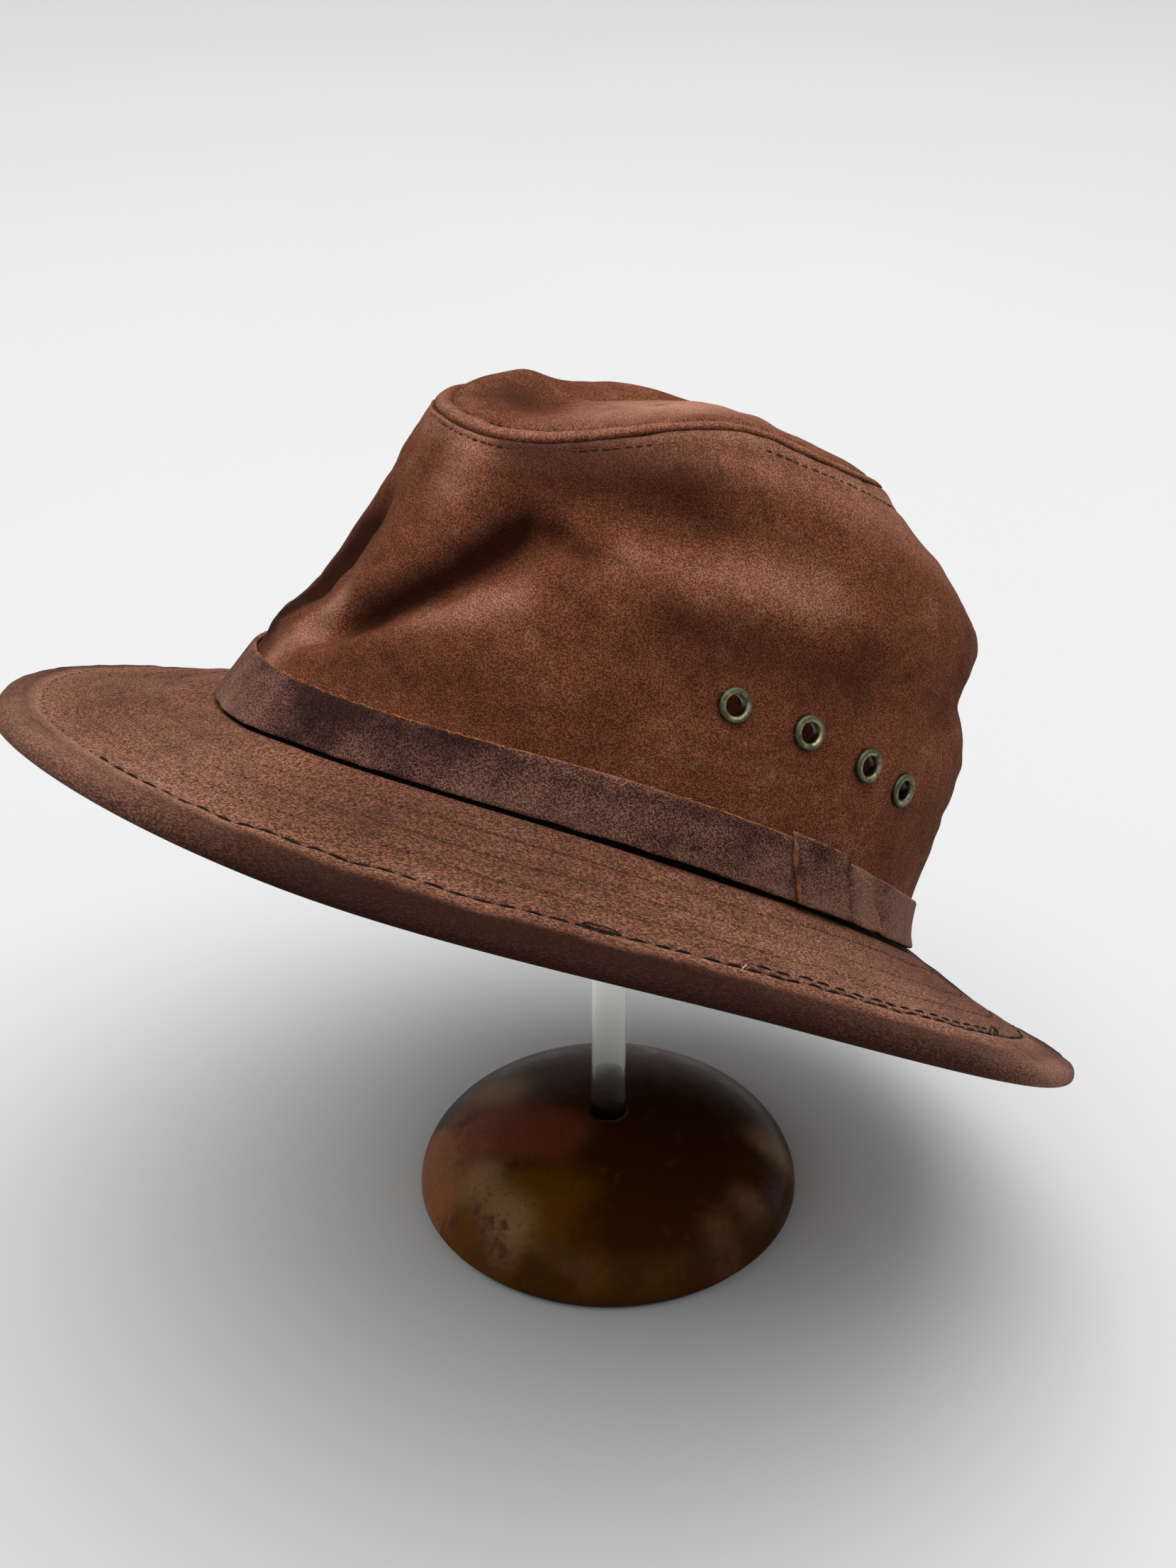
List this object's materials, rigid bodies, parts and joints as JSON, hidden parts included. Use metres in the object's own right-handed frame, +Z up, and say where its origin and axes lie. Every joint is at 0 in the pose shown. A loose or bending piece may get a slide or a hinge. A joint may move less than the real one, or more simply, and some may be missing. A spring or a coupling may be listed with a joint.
{
  "type": "leather fedora on a display stand",
  "caption": "Brown leather fedora with a pinched crown, layered drooping brim, leather band and brass vents, resting tipped back on a dome-footed clear post.",
  "frame": {"origin": "centre of the stand's flat foot, on the post's axis", "axes": "+Z up along the post; the hat's front looks along -Y and up, and the wearer's left is along +X"},
  "size_m": [0.2636, 0.2765, 0.2477],
  "materials": {
    "crown_leather": "oiled nubuck, mottled, rubbed lighter on the ridges",
    "brim_leather": "oiled nubuck, stitched in rings, darker on the rolled rim",
    "band_leather": "darker greyed leather with raw fibrous edges",
    "aged_brass": "dulled, greenish brown patina",
    "mottled_glaze": "semi-gloss, mottled brown, ochre and red, purplish at the rim",
    "clear_acrylic": "clear, polished",
    "pale_plastic": "satin"
  },
  "bodies": {
    "root": {"crown_side": "crown_leather", "crown_tip": "crown_leather", "brim": "brim_leather", "hat_band": "band_leather", "band_keeper": "band_leather", "eyelet_left_1": "aged_brass", "eyelet_left_2": "aged_brass", "eyelet_left_3": "aged_brass", "eyelet_left_4": "aged_brass", "eyelet_right_1": "aged_brass", "eyelet_right_2": "aged_brass", "eyelet_right_3": "aged_brass", "eyelet_right_4": "aged_brass", "stand_base": "mottled_glaze", "stand_post": "clear_acrylic", "stand_cap": "pale_plastic"}
  },
  "joints": []
}
